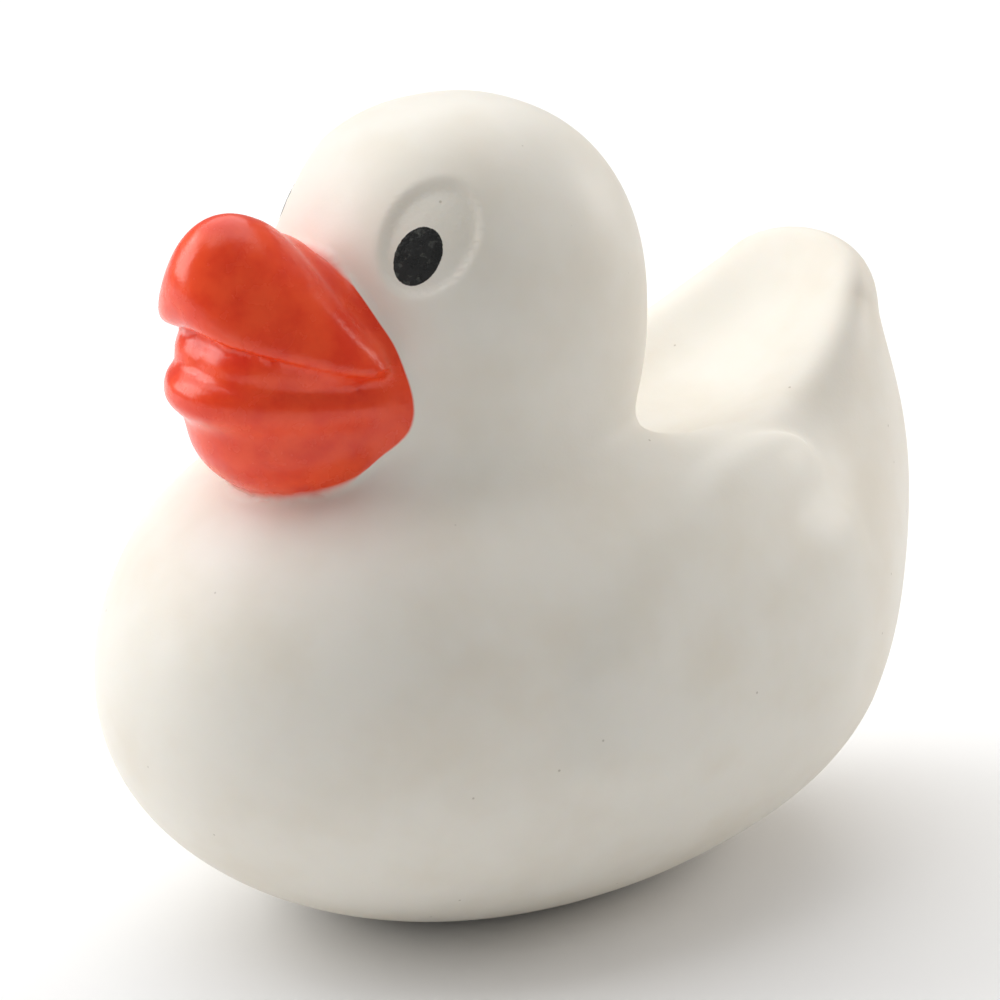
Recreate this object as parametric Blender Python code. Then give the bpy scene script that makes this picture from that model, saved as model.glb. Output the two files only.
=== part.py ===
"""A bath duck of soft vinyl: one hollow moulding with a reed squeaker pressed into its base.

Metres, +Z up. The duck faces -Y and its left side is +X. It stands on Z = 0, with the middle of
its box on the Z axis. The moulding is a blend of round masses: each is a function that gives the
distance from a point to its surface, negative inside, and blend() and carve() join them softly.
"""
import math

import bmesh
import bpy
import numpy as np
from mathutils import Matrix

MM = 0.001

# Driving dimensions
BODY_LENGTH = 89.0 * MM
BODY_WIDTH = 61.2 * MM
BODY_HEIGHT = 55.0 * MM
BODY_LIFT = 25.8 * MM
HEAD_WIDTH = 35.2 * MM
HEAD_TOP = 81.0 * MM
WALL = 1.8 * MM
BASE_THICKNESS = 3.4 * MM
GAP = 0.3 * MM

# Where the masses sit, forward being -Y
BOX_CENTRE = 1.6 * MM
BODY_CENTRE = np.array((0.0, -1.1 * MM, BODY_LIFT))
BREAST_CENTRE = np.array((0.0, -18.0 * MM, 30.0 * MM))
BREAST_RADII = np.array((26.5, 23.5, 19.8)) * MM
RUMP_CENTRE = np.array((0.0, 31.5 * MM, 35.7 * MM))
RUMP_RADII = np.array((14.6, 17.2, 22.2)) * MM
TAIL_ROOT = np.array((0.0, 17.5 * MM, 24.0 * MM))
TAIL_TIP = np.array((0.0, 36.6 * MM, 55.6 * MM))
TAIL_ROOT_RADIUS = 14.6 * MM
TAIL_TIP_RADIUS = 5.7 * MM
TAIL_FAN = 1.6
SADDLE_CENTRE = np.array((0.0, 12.5 * MM, 72.0 * MM))
SADDLE_RADII = np.array((27.0, 29.0, 28.5)) * MM
HEAD_RADII = np.array((HEAD_WIDTH / 2, 18.1 * MM, 21.2 * MM))
HEAD_CENTRE = np.array((0.0, -7.5 * MM, HEAD_TOP - HEAD_RADII[2]))
NECK_FOOT = np.array((0.0, -11.8 * MM, BODY_LIFT))
NECK_TOP = np.array((0.0, -11.8 * MM, 46.0 * MM))
NECK_RADIUS = 16.8 * MM

# Each wing is three feathers, from the top one down: centre, radii, how far the rear is raised,
# how far it turns in and how far it leans out
FEATHERS = (
    (np.array((23.2, 3.0, 37.4)) * MM, np.array((5.2, 20.5, 7.4)) * MM, 22.0, 6.0, 18.0),
    (np.array((25.0, 4.5, 32.0)) * MM, np.array((5.0, 21.2, 8.6)) * MM, 13.0, 4.0, 14.0),
    (np.array((26.0, 3.5, 25.8)) * MM, np.array((5.0, 20.6, 8.8)) * MM, 4.0, 4.0, 8.0),
)

# The bill, in centres and radii; KNEE is how round the top of an arched part is
KNEE = 4.5 * MM
FLANGE = (np.array((0.0, -18.6, 57.8)) * MM, np.array((10.5, 8.8, 10.3)) * MM)
BILL_ROOT = (np.array((0.0, -28.2, 62.0)) * MM, np.array((12.6, 4.6, 9.0)) * MM)
UPPER_LIP = (np.array((0.0, -33.7, 67.5)) * MM, np.array((13.6, 6.1, 6.2)) * MM)
LOWER_LIP = (np.array((0.0, -32.3, 56.4)) * MM, np.array((11.4, 7.5, 3.1)) * MM)
TONGUE = (np.array((4.4, -31.4, 60.6)) * MM, np.array((7.2, 7.0, 4.2)) * MM)
CHIN = (np.array((0.0, -25.6, 52.6)) * MM, np.array((10.6, 11.4, 7.4)) * MM)
ROOT_ARCH = 0.85
UPPER_LIP_ARCH = 1.15
LIP_SWEEP = 45.0
TONGUE_SWEEP = 35.0
UPPER_LIP_RISE = math.radians(23.0)
LOWER_LIP_RISE = math.radians(6.0)
TONGUE_RISE = math.radians(-8.0)
MOUTH_BACK = -31.5 * MM
MOUTH_HEIGHT = 61.4 * MM
MOUTH_SLOPE = 0.25
MOUTH_SAG = 4.0

# The squeaker, in its round seat under the body
SEAT_CENTRE_Y = BODY_CENTRE[1]
SEAT_RADIUS = 7.2 * MM
SEAT_DEPTH = 1.6 * MM
HOLE_RADIUS = 4.8 * MM
PLUG_RECESS = 0.4 * MM
PLUG_HEIGHT = 12.0 * MM
PLUG_BORE = 2.9 * MM
PLUG_VENT = 1.4 * MM
PLUG_FLOOR = 1.5 * MM
REED_THICKNESS = 0.3 * MM
REED_WIDTH = 3.4 * MM
REED_LENGTH = 8.0 * MM

# How finely the moulding is drawn
SURFACE_VOXEL = 1.0 * MM
CAVITY_VOXEL = 2.0 * MM
SURFACE_TRIANGLES = 6400
CAVITY_TRIANGLES = 1300
ROUND_SIDES = 40
SETTLE = 0.15 * MM


def blend(first, second, width):
    """Join two masses with a fillet about as wide as the given width."""
    overlap = np.maximum(width - np.abs(first - second), 0.0) / width
    return np.minimum(first, second) - overlap ** 3 * width / 6.0


def carve(mass, tool, width):
    """Take a tool away from a mass, with the rim rounded over about the given width."""
    return -blend(-mass, tool, width)


def turned(points, angle, first, second):
    """Points turned by an angle in the plane of two of their axes."""
    result = points.copy()
    result[:, first] = points[:, first] * math.cos(angle) - points[:, second] * math.sin(angle)
    result[:, second] = points[:, first] * math.sin(angle) + points[:, second] * math.cos(angle)
    return result


def ellipsoid(points, radii, power=2.0):
    """Distance to an ellipsoid about the origin; a power over 2 squares its shoulders."""
    scaled = np.abs(points) / radii
    reach = np.sum(scaled ** power, axis=1) ** (1.0 / power)
    slope = np.linalg.norm(scaled ** (power - 1.0) / radii, axis=1)
    slope = slope * np.maximum(reach, 1e-6) ** (1.0 - power)
    return (reach - 1.0) / np.maximum(slope, 1e-6)


def round_cone(points, start, end, start_radius, end_radius, stretch=1.0):
    """Distance to a tapered bar with round ends, stretched sideways."""
    squeeze = np.array((1.0 / stretch, 1.0, 1.0))
    offset = points * squeeze - start * squeeze
    axis = (end - start) * squeeze
    along = np.clip(offset @ axis / (axis @ axis), 0.0, 1.0)
    gap = np.linalg.norm(offset - along[:, None] * axis, axis=1)
    return gap - (start_radius + (end_radius - start_radius) * along)


def mirrored(points):
    """Both sides of the duck folded onto its left."""
    result = points.copy()
    result[:, 0] = np.abs(points[:, 0])
    return result


def trunk(points):
    """The body, the rump and the fanned tail, with the saddle of the back scooped out."""
    body_radii = np.array((BODY_WIDTH, BODY_LENGTH, BODY_HEIGHT)) / 2
    body = ellipsoid(points - BODY_CENTRE, body_radii, power=2.1)
    rump = ellipsoid(points - RUMP_CENTRE, RUMP_RADII)
    tail = round_cone(points, TAIL_ROOT, TAIL_TIP, TAIL_ROOT_RADIUS, TAIL_TIP_RADIUS, TAIL_FAN)
    breast = ellipsoid(points - BREAST_CENTRE, BREAST_RADII)
    front = blend(body, breast, 3.0 * MM)
    mass = blend(blend(front, rump, 12.0 * MM), tail, 12.0 * MM)
    saddle = ellipsoid(points - SADDLE_CENTRE, SADDLE_RADII)
    return carve(mass, saddle, 6.0 * MM)


def wings(points):
    """Both wings, each of three feathers that overlap like tiles."""
    folded = mirrored(points)
    mass = None
    for centre, radii, lift, toe_in, lean in FEATHERS:
        local = turned(folded - centre, -math.radians(toe_in), 0, 1)
        local = turned(local, -math.radians(lean), 0, 2)
        local = turned(local, -math.radians(lift), 1, 2)
        feather = ellipsoid(local, radii)
        mass = feather if mass is None else blend(mass, feather, 2.2 * MM)
    return mass


def head(points):
    """The domed head on its neck."""
    skull = ellipsoid(points - HEAD_CENTRE, HEAD_RADII, power=2.3)
    neck = round_cone(points, NECK_FOOT, NECK_TOP, NECK_RADIUS, NECK_RADIUS)
    return blend(skull, neck, 6.0 * MM)


def bowed(points, centre, arch, sweep):
    """Points about a centre, for a part that falls away and back to both sides."""
    local = points - centre
    local[:, 2] += arch * (np.hypot(points[:, 0], KNEE) - KNEE)
    local[:, 1] -= sweep * points[:, 0] ** 2
    return local


def jaw(points):
    """The lower lip on the chin, with the two lobes of the tongue on it."""
    local = bowed(points, LOWER_LIP[0], 0.0, LIP_SWEEP)
    lower = ellipsoid(turned(local, LOWER_LIP_RISE, 1, 2), LOWER_LIP[1], power=2.4)
    chin = ellipsoid(points - CHIN[0], CHIN[1])
    local = bowed(mirrored(points), TONGUE[0], 0.0, TONGUE_SWEEP)
    tongue = ellipsoid(turned(local, TONGUE_RISE, 1, 2), TONGUE[1])
    return blend(blend(lower, chin, 4.0 * MM), tongue, 1.2 * MM)


def upper_lip(points):
    """The upturned upper lip, arched down to the corners of the mouth and flat underneath."""
    local = bowed(points, UPPER_LIP[0], UPPER_LIP_ARCH, LIP_SWEEP)
    lip = ellipsoid(turned(local, UPPER_LIP_RISE, 1, 2), UPPER_LIP[1], power=2.3)
    fall = MOUTH_SLOPE * (MOUTH_BACK - points[:, 1]) - MOUTH_SAG * points[:, 0] ** 2
    return carve(lip, 0.85 * (points[:, 2] - MOUTH_HEIGHT - fall), 2.0 * MM)


def bill(points):
    """The whole open bill."""
    flange = ellipsoid(points - FLANGE[0], FLANGE[1], power=2.2)
    root = ellipsoid(bowed(points, BILL_ROOT[0], ROOT_ARCH, LIP_SWEEP), BILL_ROOT[1])
    face = blend(blend(flange, root, 6.0 * MM), jaw(points), 2.0 * MM)
    return blend(face, upper_lip(points), 1.2 * MM)


def moulding(points):
    """The whole outer skin."""
    points = points + (0.0, BOX_CENTRE, 0.0)
    body = blend(trunk(points), wings(points), 2.0 * MM)
    duck = blend(body, head(points), 6.0 * MM)
    duck = blend(duck, bill(points), 1.6 * MM)
    return carve(duck, points[:, 2], 1.5 * MM)


def hollow(points):
    """The inside: one wall in from the skin, plainer, with the bill's lips left solid."""
    points = points + (0.0, BOX_CENTRE, 0.0)
    body = blend(trunk(points), wings(points), 6.0 * MM)
    flange = ellipsoid(points - FLANGE[0], FLANGE[1], power=2.2)
    root = blend(flange, ellipsoid(points - CHIN[0], CHIN[1]), 3.0 * MM)
    return blend(blend(body, head(points), 8.0 * MM), root, 4.0 * MM) + WALL


def new_object(name, mesh):
    """Put a mesh into the scene."""
    item = bpy.data.objects.new(name, mesh)
    bpy.context.scene.collection.objects.link(item)
    return item


def with_modifier(mesh, kind, **settings):
    """The mesh that one modifier makes of another mesh."""
    item = new_object("work", mesh)
    modifier = item.modifiers.new(kind, kind)
    for key, value in settings.items():
        setattr(modifier, key, value)
    bpy.context.view_layer.update()
    evaluated = item.evaluated_get(bpy.context.evaluated_depsgraph_get())
    result = bpy.data.meshes.new_from_object(evaluated)
    bpy.data.objects.remove(item)
    return result


def drawn_onto(mesh, form, steps=12):
    """Move each vertex along the form's slope until it lies on the form's surface."""
    points = np.empty(len(mesh.vertices) * 3)
    mesh.vertices.foreach_get("co", points)
    points = points.reshape(-1, 3)
    probe = 0.05 * MM
    for _ in range(steps):
        slope = np.empty_like(points)
        for axis in range(3):
            side = np.zeros(3)
            side[axis] = probe
            slope[:, axis] = (form(points + side) - form(points - side)) / (2.0 * probe)
        steepness = np.maximum(np.sum(slope ** 2, axis=1), 0.25)
        points -= (form(points) / steepness)[:, None] * slope
    mesh.vertices.foreach_set("co", points.ravel())
    mesh.update()
    return mesh


def rough_duck():
    """Overlapping balls in the places of the masses, for the surface to be drawn from."""
    balls = [
        (BODY_CENTRE, np.array((BODY_WIDTH, BODY_LENGTH, BODY_HEIGHT)) / 2),
        (RUMP_CENTRE, RUMP_RADII),
        (TAIL_TIP, np.full(3, TAIL_TIP_RADIUS)),
        ((TAIL_ROOT + TAIL_TIP) / 2, np.full(3, TAIL_ROOT_RADIUS * 0.8)),
        (TAIL_ROOT, np.full(3, TAIL_ROOT_RADIUS)),
        (HEAD_CENTRE, HEAD_RADII),
        (NECK_TOP, np.full(3, NECK_RADIUS)),
        FLANGE, BILL_ROOT, UPPER_LIP, LOWER_LIP, CHIN,
    ]
    for centre, radii, *_ in FEATHERS:
        balls.append((centre, radii))
        balls.append((centre * (-1.0, 1.0, 1.0), radii))
    form = bmesh.new()
    for centre, radii in balls:
        place = Matrix.Translation(centre - np.array((0.0, BOX_CENTRE, 0.0)))
        size = Matrix.Diagonal((*radii, 1.0))
        bmesh.ops.create_icosphere(form, subdivisions=4, radius=1.0, matrix=place @ size)
    mesh = bpy.data.meshes.new("rough_duck")
    form.to_mesh(mesh)
    form.free()
    return mesh


def surface_of(form, voxel, triangles):
    """The closed surface of a form: an even mesh drawn onto it twice, then thinned."""
    mesh = rough_duck()
    for _ in range(2):
        mesh = with_modifier(mesh, "REMESH", mode="VOXEL", voxel_size=voxel)
        mesh = drawn_onto(mesh, form)
        mesh = with_modifier(mesh, "SMOOTH", factor=0.5, iterations=4)
        mesh = drawn_onto(mesh, form, steps=4)
    share = min(1.0, triangles / (2.0 * len(mesh.polygons)))
    return with_modifier(mesh, "DECIMATE", ratio=share)


def settled(mesh):
    """Press the vertices that all but touch the ground flat onto it."""
    for vertex in mesh.vertices:
        if vertex.co.z < SETTLE:
            vertex.co.z = 0.0
    return mesh


def turned_piece(name, profile, centre_y):
    """A closed ring or plug: a profile of (radius, height) points, from top to bottom, spun."""
    form = bmesh.new()
    points = [form.verts.new((radius, 0.0, height)) for radius, height in profile]
    edges = [form.edges.new(pair) for pair in zip(points, points[1:])]
    if profile[0][0] > 0.0:
        edges.append(form.edges.new((points[-1], points[0])))
    bmesh.ops.spin(form, geom=points + edges, cent=(0, 0, 0), axis=(0, 0, 1),
                   angle=2 * math.pi, steps=ROUND_SIDES, use_merge=True)
    bmesh.ops.remove_doubles(form, verts=form.verts, dist=0.001 * MM)
    bmesh.ops.recalc_face_normals(form, faces=form.faces)
    bmesh.ops.translate(form, verts=form.verts, vec=(0.0, centre_y, 0.0))
    mesh = bpy.data.meshes.new(name)
    form.to_mesh(mesh)
    form.free()
    mesh.shade_smooth()
    mesh.set_sharp_from_angle(angle=math.radians(30.0))
    return new_object(name, mesh)


def box(name, low, high):
    """A rectangular block between two corners."""
    low, high = np.array(low), np.array(high)
    form = bmesh.new()
    place = Matrix.Translation((low + high) / 2) @ Matrix.Diagonal((*(high - low), 1.0))
    bmesh.ops.create_cube(form, size=1.0, matrix=place)
    mesh = bpy.data.meshes.new(name)
    form.to_mesh(mesh)
    form.free()
    return new_object(name, mesh)


def cut(item, tool, operation="DIFFERENCE"):
    """Cut one object by another, which is then only a guide."""
    modifier = item.modifiers.new(tool.name, "BOOLEAN")
    modifier.operation = operation
    modifier.object = tool
    tool.hide_render = True
    tool.display_type = "WIRE"


def finish(item, colour, roughness):
    """Give an object its own plain material."""
    material = bpy.data.materials.new(item.name)
    material.use_nodes = True
    shader = material.node_tree.nodes["Principled BSDF"]
    shader.inputs["Base Color"].default_value = (*colour, 1.0)
    shader.inputs["Roughness"].default_value = roughness
    shader.inputs["Metallic"].default_value = 0.0
    item.data.materials.clear()
    item.data.materials.append(material)


def seat_y():
    """Where the squeaker's axis stands."""
    return SEAT_CENTRE_Y - BOX_CENTRE


def build_shell():
    """The hollow moulding, flat under the body, with the seat and the hole for the squeaker."""
    skin = settled(surface_of(moulding, SURFACE_VOXEL, SURFACE_TRIANGLES))
    shell = new_object("duck_shell", skin)
    cavity = new_object("cavity", surface_of(hollow, CAVITY_VOXEL, CAVITY_TRIANGLES))
    reach = BODY_LENGTH
    inner_floor = box("inner_floor", (-reach, -reach, -reach), (reach, reach, BASE_THICKNESS))
    cut(cavity, inner_floor)
    cut(shell, cavity)
    seat = turned_piece("seat", ((0.0, SEAT_DEPTH), (SEAT_RADIUS, SEAT_DEPTH),
                                 (SEAT_RADIUS, -SEAT_DEPTH), (0.0, -SEAT_DEPTH)), seat_y())
    cut(shell, seat)
    hole = turned_piece("hole", ((0.0, 2 * BASE_THICKNESS), (HOLE_RADIUS, 2 * BASE_THICKNESS),
                                 (HOLE_RADIUS, 0.0), (0.0, 0.0)), seat_y())
    cut(shell, hole)
    finish(shell, (0.80, 0.78, 0.74), 0.45)


def build_plug():
    """The squeaker's body: an outer disc, a barrel through the hole and a rim that snaps inside."""
    disc = SEAT_RADIUS - GAP
    barrel = HOLE_RADIUS - GAP
    disc_top = SEAT_DEPTH - GAP
    rim = BASE_THICKNESS + GAP
    profile = (
        (PLUG_BORE, PLUG_HEIGHT),
        (barrel - 0.5 * MM, PLUG_HEIGHT),
        (barrel, PLUG_HEIGHT - 0.5 * MM),
        (barrel, rim + 2.4 * MM),
        (barrel + 1.1 * MM, rim + 1.0 * MM),
        (barrel + 1.1 * MM, rim),
        (barrel, rim),
        (barrel, disc_top),
        (disc, disc_top),
        (disc, PLUG_RECESS + 0.3 * MM),
        (disc - 0.3 * MM, PLUG_RECESS),
        (PLUG_VENT, PLUG_RECESS),
        (PLUG_VENT, PLUG_FLOOR),
        (PLUG_BORE, PLUG_FLOOR),
    )
    plug = turned_piece("squeaker_plug", profile, seat_y())
    finish(plug, (0.83, 0.83, 0.80), 0.35)


def build_reed():
    """The thin reed and the half-round anvil that it beats on, inside the plug."""
    radius = PLUG_BORE - GAP
    low, high = PLUG_FLOOR + GAP, PLUG_HEIGHT - 1.0 * MM
    profile = ((0.0, high), (radius, high), (radius, low), (0.0, low))
    anvil = turned_piece("reed_anvil", profile, seat_y())
    front = seat_y() - REED_THICKNESS / 2 - GAP
    cut(anvil, box("anvil_face", (-SEAT_RADIUS, front, 0.0),
                   (SEAT_RADIUS, seat_y() + SEAT_RADIUS, 2 * PLUG_HEIGHT)))
    finish(anvil, (0.80, 0.80, 0.78), 0.4)
    top = high - 0.6 * MM
    reed = box("squeaker_reed", (-REED_WIDTH / 2, seat_y() - REED_THICKNESS / 2, top - REED_LENGTH),
               (REED_WIDTH / 2, seat_y() + REED_THICKNESS / 2, top))
    finish(reed, (0.72, 0.74, 0.76), 0.3)


for old in list(bpy.data.objects):
    bpy.data.objects.remove(old)
build_shell()
build_plug()
build_reed()
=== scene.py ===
"""Looks of a soft vinyl bath duck: its moulded skin, sprayed bill and eyes, and its squeaker.

Metres, +Z up. The duck faces -Y, its left side is +X, and it stands on Z = 0. The moulding is a
blend of round masses. It is drawn in millimetres about the duck's own middle, and set on the frame
from the box of the duck_shell node.
"""
from __future__ import annotations

import logging
import math
from dataclasses import dataclass, field
from enum import Enum
from typing import Callable

import bmesh
import bpy
import numpy as np
from mathutils import Matrix, Vector

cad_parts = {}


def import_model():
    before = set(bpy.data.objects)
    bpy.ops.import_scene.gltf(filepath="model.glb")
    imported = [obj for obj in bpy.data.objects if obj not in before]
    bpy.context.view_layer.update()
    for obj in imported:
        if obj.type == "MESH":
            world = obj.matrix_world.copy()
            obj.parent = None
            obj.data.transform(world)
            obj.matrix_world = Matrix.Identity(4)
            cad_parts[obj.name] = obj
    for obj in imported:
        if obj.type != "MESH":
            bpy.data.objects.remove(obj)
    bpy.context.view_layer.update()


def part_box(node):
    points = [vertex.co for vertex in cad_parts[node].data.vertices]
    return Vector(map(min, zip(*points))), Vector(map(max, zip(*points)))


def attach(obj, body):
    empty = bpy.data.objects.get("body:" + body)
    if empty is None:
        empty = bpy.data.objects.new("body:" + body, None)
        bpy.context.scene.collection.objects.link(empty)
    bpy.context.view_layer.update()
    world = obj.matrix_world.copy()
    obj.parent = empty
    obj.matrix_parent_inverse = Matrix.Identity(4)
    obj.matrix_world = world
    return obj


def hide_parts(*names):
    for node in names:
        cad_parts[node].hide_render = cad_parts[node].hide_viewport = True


LOG = logging.getLogger("duck")
MM = 0.001

# The frame's one body, and its nodes
BODY = "root"
SHELL = "duck_shell"
PLUG = "squeaker_plug"
ANVIL = "reed_anvil"
REED = "squeaker_reed"

# How round the crest of an arched part is, in millimetres
KNEE = 4.5

# How a form's surface is drawn: spacing of the first mesh in millimetres, moves on to the form
# before and after each smoothing, and the smoothing itself
FIRST_VOXEL = 1.5
FIRST_MOVES = 8
LAST_MOVES = 3
SMOOTH_SHARE = 0.5
SMOOTH_ROUNDS = 3

# The value of a paint layer where there is none
UNPAINTED = -5.0

Form = Callable[[np.ndarray], np.ndarray]
Triple = tuple[float, float, float]


# ---------------------------------------------------------------- the form of the moulding


def blend(first: np.ndarray, second: np.ndarray, width: float) -> np.ndarray:
    """Join two masses with a fillet.

    Args:
        first: Distances to one mass, negative inside.
        second: Distances to the other.
        width: About how wide the fillet is, in millimetres.

    Returns:
        Distances to the two masses joined.
    """
    overlap = np.maximum(width - np.abs(first - second), 0.0) / width
    return np.minimum(first, second) - overlap ** 3 * width / 6.0


def carve(mass: np.ndarray, tool: np.ndarray, width: float) -> np.ndarray:
    """Take a tool away from a mass, with a rounded rim.

    Args:
        mass: Distances to the mass.
        tool: Distances to what is taken away.
        width: About how wide the rounding of the rim is, in millimetres.

    Returns:
        Distances to what is left.
    """
    return -blend(-mass, tool, width)


def ramp(value: np.ndarray, low: float, high: float) -> np.ndarray:
    """A smooth step from 0 at low to 1 at high."""
    share = np.clip((value - low) / (high - low), 0.0, 1.0)
    return share * share * (3.0 - 2.0 * share)


def turned(points: np.ndarray, degrees: float, first: int, second: int) -> np.ndarray:
    """Turn points in the plane of two of their axes.

    Args:
        points: One row for each point.
        degrees: The angle, from the first axis towards the second.
        first: Column of the first axis.
        second: Column of the second axis.

    Returns:
        The turned points.
    """
    if degrees == 0.0:
        return points
    cosine, sine = math.cos(math.radians(degrees)), math.sin(math.radians(degrees))
    result = points.copy()
    result[:, first] = points[:, first] * cosine - points[:, second] * sine
    result[:, second] = points[:, first] * sine + points[:, second] * cosine
    return result


@dataclass(frozen=True)
class Ball:
    """An ellipsoid, in millimetres and degrees.

    Attributes:
        centre: Its middle.
        radii: Its half sizes along X, Y and Z.
        power: 2 for a true ellipsoid, more for squarer shoulders.
        rise: How far its front is raised.
        toe: How far its rear is turned towards the middle plane, on the left side.
        lean: How far its top leans towards the middle plane, on the left side.
        arch: How steeply it drops away from the middle plane, as a slope.
        sweep: How fast it falls back to the rear away from the middle plane, per millimetre.
    """

    centre: Triple
    radii: Triple
    power: float = 2.0
    rise: float = 0.0
    toe: float = 0.0
    lean: float = 0.0
    arch: float = 0.0
    sweep: float = 0.0

    def distance(self, points: np.ndarray) -> np.ndarray:
        """Distances from points to the surface, negative inside."""
        local = points - np.array(self.centre)
        local[:, 2] += self.arch * (np.hypot(points[:, 0], KNEE) - KNEE)
        local[:, 1] -= self.sweep * points[:, 0] ** 2
        local = turned(local, -self.toe, 0, 1)
        local = turned(local, -self.lean, 0, 2)
        local = turned(local, self.rise, 1, 2)
        radii = np.array(self.radii)
        scaled = np.abs(local) / radii
        if self.power == 2.0:
            reach = np.sqrt(np.sum(scaled * scaled, axis=1))
            slope = np.linalg.norm(scaled / radii, axis=1) / np.maximum(reach, 1e-6)
        else:
            reach = np.sum(scaled ** self.power, axis=1) ** (1.0 / self.power)
            slope = np.linalg.norm(scaled ** (self.power - 1.0) / radii, axis=1)
            slope = slope * np.maximum(reach, 1e-6) ** (1.0 - self.power)
        return (reach - 1.0) / np.maximum(slope, 1e-6)


@dataclass(frozen=True)
class Taper:
    """A tapered bar with round ends, in millimetres.

    Attributes:
        start: Middle of the ball at one end.
        end: Middle of the ball at the other end.
        start_radius: Radius of the first ball.
        end_radius: Radius of the second.
        stretch: How many times wider it is sideways than it is thick.
    """

    start: Triple
    end: Triple
    start_radius: float
    end_radius: float
    stretch: float = 1.0

    def distance(self, points: np.ndarray) -> np.ndarray:
        """Distances from points to the surface, negative inside."""
        squeeze = np.array((1.0 / self.stretch, 1.0, 1.0))
        start = np.array(self.start) * squeeze
        axis = np.array(self.end) * squeeze - start
        offset = points * squeeze - start
        along = np.clip(offset @ axis / (axis @ axis), 0.0, 1.0)
        gap = np.linalg.norm(offset - along[:, None] * axis, axis=1)
        return gap - (self.start_radius + (self.end_radius - self.start_radius) * along)


def folded(points: np.ndarray) -> np.ndarray:
    """Both sides of the duck laid onto its left side."""
    result = points.copy()
    result[:, 0] = np.abs(points[:, 0])
    return result


@dataclass(frozen=True)
class Trunk:
    """The body, the rump and the fanned tail, with the saddle of the back scooped out."""

    body: Ball = Ball((0.0, -1.1, 25.8), (30.6, 44.5, 27.5), power=2.1)
    rump: Ball = Ball((0.0, 31.5, 35.7), (14.6, 17.2, 22.2))
    breast: Ball = Ball((0.0, -18.0, 30.0), (26.5, 23.5, 19.8))
    tail: Taper = Taper((0.0, 17.5, 24.0), (0.0, 36.6, 55.6), 14.6, 5.7, stretch=1.6)
    saddle: Ball = Ball((0.0, 12.5, 72.0), (27.0, 29.0, 28.5))
    breast_fillet: float = 3.0
    fillet: float = 12.0
    rim: float = 6.0

    def distance(self, points: np.ndarray) -> np.ndarray:
        """Distances from points to the trunk."""
        front = blend(self.body.distance(points), self.breast.distance(points),
                      self.breast_fillet)
        mass = blend(front, self.rump.distance(points), self.fillet)
        mass = blend(mass, self.tail.distance(points), self.fillet)
        return carve(mass, self.saddle.distance(points), self.rim)


@dataclass(frozen=True)
class Wings:
    """Two wings, each of three feathers that overlap like tiles, from the top one down."""

    feathers: tuple[Ball, ...] = (
        Ball((23.2, 3.0, 37.4), (5.2, 20.5, 7.4), rise=-22.0, toe=6.0, lean=18.0),
        Ball((25.0, 4.5, 32.0), (5.0, 21.2, 8.6), rise=-13.0, toe=4.0, lean=14.0),
        Ball((26.0, 3.5, 25.8), (5.0, 20.6, 8.8), rise=-4.0, toe=4.0, lean=8.0),
    )
    overlap: float = 2.2

    def distance(self, points: np.ndarray) -> np.ndarray:
        """Distances from points to the nearer wing."""
        left = folded(points)
        mass = self.feathers[0].distance(left)
        for feather in self.feathers[1:]:
            mass = blend(mass, feather.distance(left), self.overlap)
        return mass


@dataclass(frozen=True)
class Head:
    """The domed head on its neck."""

    skull: Ball = Ball((0.0, -7.5, 59.8), (17.6, 18.1, 21.2), power=2.3)
    neck: Taper = Taper((0.0, -11.8, 25.8), (0.0, -11.8, 46.0), 16.8, 16.8)
    fillet: float = 6.0

    def distance(self, points: np.ndarray) -> np.ndarray:
        """Distances from points to the head and neck."""
        return blend(self.skull.distance(points), self.neck.distance(points), self.fillet)


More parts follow.
